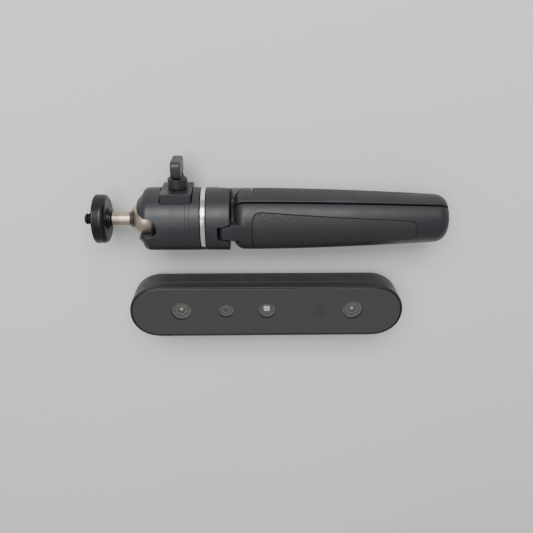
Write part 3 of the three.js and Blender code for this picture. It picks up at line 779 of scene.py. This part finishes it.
def knob():
    low, collar_r, collar_top, top = BOSS_TOP + GAP, 5.3, 24, 33.2
    wing_thick, wing_width, wing_round = 5.3, 18, 3.4
    outline = [(low, 0, 0), (low, collar_r - 0.3, 0.2), (low + 0.5, collar_r, 0.3),
               (collar_top - 1.2, collar_r, 0.8), (collar_top - 0.6, 3.9, 0.6), (collar_top + 2, 3.2, 0),
               (collar_top + 2, 0, 0)]
    piece = moved(turned("collar", rounded(outline, closed=False), 96), (0, 0, 90))
    height = top - collar_top
    side = [(0.8, 0), (0.38, 0.12), (0.12, 0.38), (0, 0.8)]
    levels = [(depth - wing_thick / 2, margin) for margin, depth in side]
    levels += [(wing_thick / 2 - depth, margin) for margin, depth in reversed(side)]
    wing = stacked("wing", lambda m: rectangle(wing_width - 2 * m, height - 2 * m, wing_round - m), levels)
    join(piece, moved(wing, (0, 90, 0), (0, (top + collar_top) / 2, 0)))
    cut(piece, rod("y", KNOB_SCREW_HOLE_R, low - 1, collar_top - 1))
    moved(piece, shift=(KNOB_X, 0, 0))
    placed(piece, "wing_lock_knob", "knob", SATIN, ["lock_knob"], GRIP_AT)


def accent_ring():
    outline = [(RING_START, BOLT_HOLE_R, 0), (RING_START, RING_R, 0.35), (RING_END, RING_R, 0.35),
               (RING_END, BOLT_HOLE_R, 0)]
    ring = turned("ring", rounded(outline), ROUND, closed=True)
    placed(ring, "polished_accent_ring", "head", BRIGHT, ["accent_ring"], GRIP_AT)


# ---------- grip: leg base and legs ----------

def leg_turn(i):
    return LEG_PHASE - 360 / LEGS * i


def mirrored(halves):
    """A plan outline from half widths, the same on both sides."""
    return [(x, -half) for x, half in halves] + [(x, half) for x, half in reversed(halves)]


def pin_hole():
    return rod("y", PIN_HOLE_R, -PIN_HALF, PIN_HALF, (PIN_X, PIN_R))


def slot_cutters(turn):
    slot = prism("slot", mirrored(SLOT), SLOT_FLOOR, FAR)
    return [moved(tool, (turn, 0, 0)) for tool in (slot, pin_hole())]


def leg_base():
    r = GRIP_R
    outline = [(HUB_START, 0, 0), (HUB_START, r, 0.4), (HUB_END, r, 0.6), (HUB_END, 0, 0)]
    hub = turned("hub", rounded(outline, closed=False))
    for i in range(LEGS):
        cut(hub, *slot_cutters(-360 / LEGS * i))
    head_hole = rod("x", BOLT_HEAD_HOLE_R, HUB_END - 3, HUB_END + 1)
    cut(hub, rod("x", BOLT_HOLE_R, HUB_START - 1, HUB_END + 1), head_hole)
    placed(hub, "leg_hub", "base", SATIN, ["leg_base"], GRIP_AT, LEG_PHASE)


def handle_radius(x):
    """Radius of the closed handle: full near the hinge, slimmer at the tip."""
    t = min(max((x - TAPER_START) / TAPER_LENGTH, 0), 1)
    return HANDLE_R - TAPER_DROP * t ** TAPER_POWER


def leg_profile(inset, start, tip):
    """(place, radius) along the leg, with a round shoulder and a blunt round tip."""
    shoulder, end_round, blunt = SHOULDER, TIP_LENGTH, TIP_DROP
    points = []
    for i in range(13):
        angle = math.pi / 2 * i / 12
        radius = handle_radius(start) - inset - shoulder * (1 - math.sin(angle))
        points.append((start + shoulder * (1 - math.cos(angle)), radius))
    count = 60
    for i in range(1, count):
        x = start + shoulder + (tip - end_round - start - shoulder) * i / count
        points.append((x, handle_radius(x) - inset))
    last = handle_radius(tip - end_round) - inset
    for i in range(13):
        angle = math.pi / 2 * i / 12
        points.append((tip - end_round * (1 - math.sin(angle)), last - blunt * (1 - math.cos(angle))))
    return points


def sector(radius, edge, steps=40):
    """The leg's cross-section: an arc, two flats that meet the other legs, and softened corners."""
    half = math.pi / LEGS
    back = SECTOR_BACK
    side = Vector((math.sin(half), math.cos(half)))
    lift = back * math.sin(half)
    reach = math.sqrt(radius ** 2 - lift ** 2) - back * math.cos(half)
    corner = Vector((0, back)) + side * reach
    start = math.atan2(corner.x, corner.y)
    trimmed = start - edge / radius
    points = []
    for i in range(steps + 1):
        angle = -trimmed + 2 * trimmed * i / steps
        points.append((radius * math.sin(angle), radius * math.cos(angle)))
    before = Vector(points[-1])
    after = corner - side * edge
    turn = [before * (1 - t) ** 2 + corner * 2 * t * (1 - t) + after * t * t for t in (0.25, 0.5, 0.75, 1)]
    right = [tuple(p) for p in turn]
    left = [(-x, z_) for x, z_ in reversed(right)]
    return points + right + [(0, back)] + left


def leg_body():
    """The solid leg, one third of the closed handle."""
    loops = []
    for x, radius in leg_profile(0, LEG_START, LEG_TIP):
        loops.append([(x, y, z) for y, z in sector(radius, CORNER)])
    return solid("leg", loops)


def leg_round(inset, start=LEG_START, tip=LEG_TIP, segments=ROUND):
    """The whole round handle, taken in by an inset."""
    profile = [(start, 0)] + leg_profile(inset, start, tip) + [(tip, 0)]
    return turned("handle", profile, segments)


def pad_outline(margin):
    """Wide at the hinge, narrow and round at the tip, in the leg's own plan."""
    wide, narrow = (half + margin for half in PAD_HALF)
    start, end = PAD_START - margin, PAD_END + margin
    r = PAD_ROUND + margin
    run = end - 2 * r - start
    points = bezier((start, -wide + r), (start, -wide), (start + r, -wide))
    points += [(start + r + run * t, -wide + (wide - narrow) * t) for t in (0.25, 0.5, 0.75)]
    points += bezier((end - r, -narrow), (end, -narrow), (end, 0))
    points += bezier((end, 0), (end, narrow), (end - r, narrow))[1:]
    points += [(start + r + run * t, wide - (wide - narrow) * t) for t in (0.75, 0.5, 0.25)]
    points += bezier((start + r, wide), (start, wide), (start, wide - r))
    return points


def bezier(a, corner, b, steps=10):
    a, corner, b = Vector(a), Vector(corner), Vector(b)
    points = []
    for i in range(steps + 1):
        t = i / steps
        points.append(tuple(a * (1 - t) ** 2 + corner * 2 * t * (1 - t) + b * t * t))
    return points


def lug():
    """The hinge lug: a round eye in the hub's slot, and an arm flush with the leg's outside."""
    plan = prism("lug", mirrored(LUG), PIN_R - EYE_R, FAR)
    eye = rod("y", EYE_R, -9, 9, (PIN_X, PIN_R), 64)
    wide, tall = 18, 8
    upper = block((LUG_END - LUG_START, wide, tall), ((LUG_START + LUG_END) / 2, 0, PIN_R + tall / 2))
    drop = ARM_DROP + 0.2
    lower = block((LUG_END - PIN_X, wide, drop), ((LUG_END + PIN_X) / 2, 0, PIN_R - ARM_DROP + drop / 2))
    return keep(plan, join(eye, upper, lower), rod("x", LUG_TOP, 30, FAR, segments=ROUND))


def leg_shell(i):
    inner = leg_round(SKIN, LEG_START + 3, LEG_TIP - 4, 96)
    channel = keep(inner, block((200, CHANNEL, 40), (100, 0, 19)))
    shell = join(cut(leg_body(), channel), lug())
    recess = cut(prism("recess", pad_outline(GAP), 0, FAR), leg_round(PAD_DEPTH + GAP))
    bolt = rod("x", 6, LEG_START - 1, LEG_START + 2)
    foot = block([side + 2 * GAP for side in FOOT], (LEG_TIP, 0, FOOT_Z))
    cut(shell, recess, pin_hole(), bolt, foot)
    leg, nodes = f"leg_{i + 1}", [f"leg_shell_{i + 1}"]
    placed(shell, f"{leg}_shell", leg, SATIN, nodes, GRIP_AT, leg_turn(i))


def leg_pad(i):
    piece = keep(cut(leg_round(0), leg_round(PAD_DEPTH)), prism("plan", pad_outline(0), 0, FAR))
    leg, nodes = f"leg_{i + 1}", [f"leg_pad_{i + 1}"]
    placed(piece, f"{leg}_grip_pad", leg, LEATHER, nodes, GRIP_AT, leg_turn(i))


def leg_foot(i):
    piece = keep(block(FOOT, (LEG_TIP, 0, FOOT_Z)), leg_body())
    leg, nodes = f"leg_{i + 1}", [f"leg_foot_{i + 1}"]
    placed(piece, f"{leg}_rubber_foot", leg, SOFT, nodes, GRIP_AT, leg_turn(i))


# ---------- carried-over CAD nodes ----------

KEPT = {
    "optics_bracket": MILLED, "main_board": MASK, "heat_spreader": MILLED, "fill_light": MILLED,
    "usb_port": STEEL, "button_switch": STEEL, "status_light": MILKY, "tripod_socket": BRASS,
    # The seat cup's black metal is a guessed finish that also acts as painted shade inside the notch.
    "seat_cup": BLACK_METAL, "knob_screw": STEEL, "pan_bolt": DARK_STEEL,
    **{f"cover_screw_{i + 1}": STEEL for i in range(SCREWS)},
    **{f"hinge_pin_{i + 1}": STEEL for i in range(LEGS)},
}


def kept_nodes():
    for node, surface in KEPT.items():
        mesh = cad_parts[node].data
        mesh.materials.clear()
        mesh.materials.append(surface)


# ---------- stage ----------

def floor():
    size = 3
    mesh = bpy.data.meshes.new("floor")
    corners = [(-size, -size, 0), (size, -size, 0), (size, size, 0), (-size, size, 0)]
    mesh.from_pydata(corners, [], [(0, 1, 2, 3)])
    obj = bpy.data.objects.new("floor", mesh)
    bpy.context.scene.collection.objects.link(obj)
    n = Nodes("pale_floor")
    soft = n.noise(6, 3)
    mesh.materials.append(n.set(
        Base_Color=n.blend(soft, (0.76, 0.76, 0.745, 1), (0.80, 0.80, 0.785, 1)),
        Roughness=n.ranged(soft, 0.75, 0.85),
    ))


def area_light(name, at, target, size, power, colour=(1, 1, 1)):
    data = bpy.data.lights.new(name, "AREA")
    data.shape = "RECTANGLE"
    data.size, data.size_y = size
    data.energy = power
    data.color = colour
    obj = bpy.data.objects.new(name, data)
    bpy.context.scene.collection.objects.link(obj)
    obj.location = at
    obj.rotation_euler = (Vector(target) - Vector(at)).to_track_quat("-Z", "Y").to_euler()


def studio():
    area_light("key", (-0.10, 0.70, 0.80), (0, 0.02, 0), (0.9, 0.5), 11)
    area_light("overhead", (-0.35, 0.16, 0.95), (-0.05, 0.02, 0), (0.4, 0.4), 2)
    world = bpy.data.worlds.new("studio")
    world.use_nodes = True
    world.node_tree.nodes["Background"].inputs["Color"].default_value = (0.80, 0.81, 0.82, 1)
    world.node_tree.nodes["Background"].inputs["Strength"].default_value = 0.55
    bpy.context.scene.world = world


CAMERA_AT = (-9.10, 129.17, 320.98)
CAMERA_TILT = 24.739
CAMERA_ROLL = -0.467
CAMERA_PAN = 1.782


def camera():
    data = bpy.data.cameras.new("camera")
    data.lens = 39.95
    data.sensor_width = 36
    data.clip_start = 0.01
    obj = bpy.data.objects.new("camera", data)
    bpy.context.scene.collection.objects.link(obj)
    to_camera = Matrix.Identity(4)
    for axis, degrees in (("Z", CAMERA_ROLL), ("X", CAMERA_TILT), ("Y", CAMERA_PAN)):
        to_camera = to_camera @ Matrix.Rotation(math.radians(degrees), 4, axis)
    obj.matrix_world = Matrix.Translation(Vector(CAMERA_AT) * MM) @ to_camera.transposed()
    bpy.context.scene.camera = obj


camera()
studio()
floor()
kept_nodes()
rear_cover()
front_frame()
front_glass()
camera_module("left_camera")
camera_module("right_camera")
colour_module("colour_camera")
projector_module("projector")
scan_button()
housing()
collar()
ball_and_stem()
mounting_plate()
camera_screw()
knob()
accent_ring()
leg_base()
for leg in range(LEGS):
    leg_shell(leg)
    leg_pad(leg)
    leg_foot(leg)
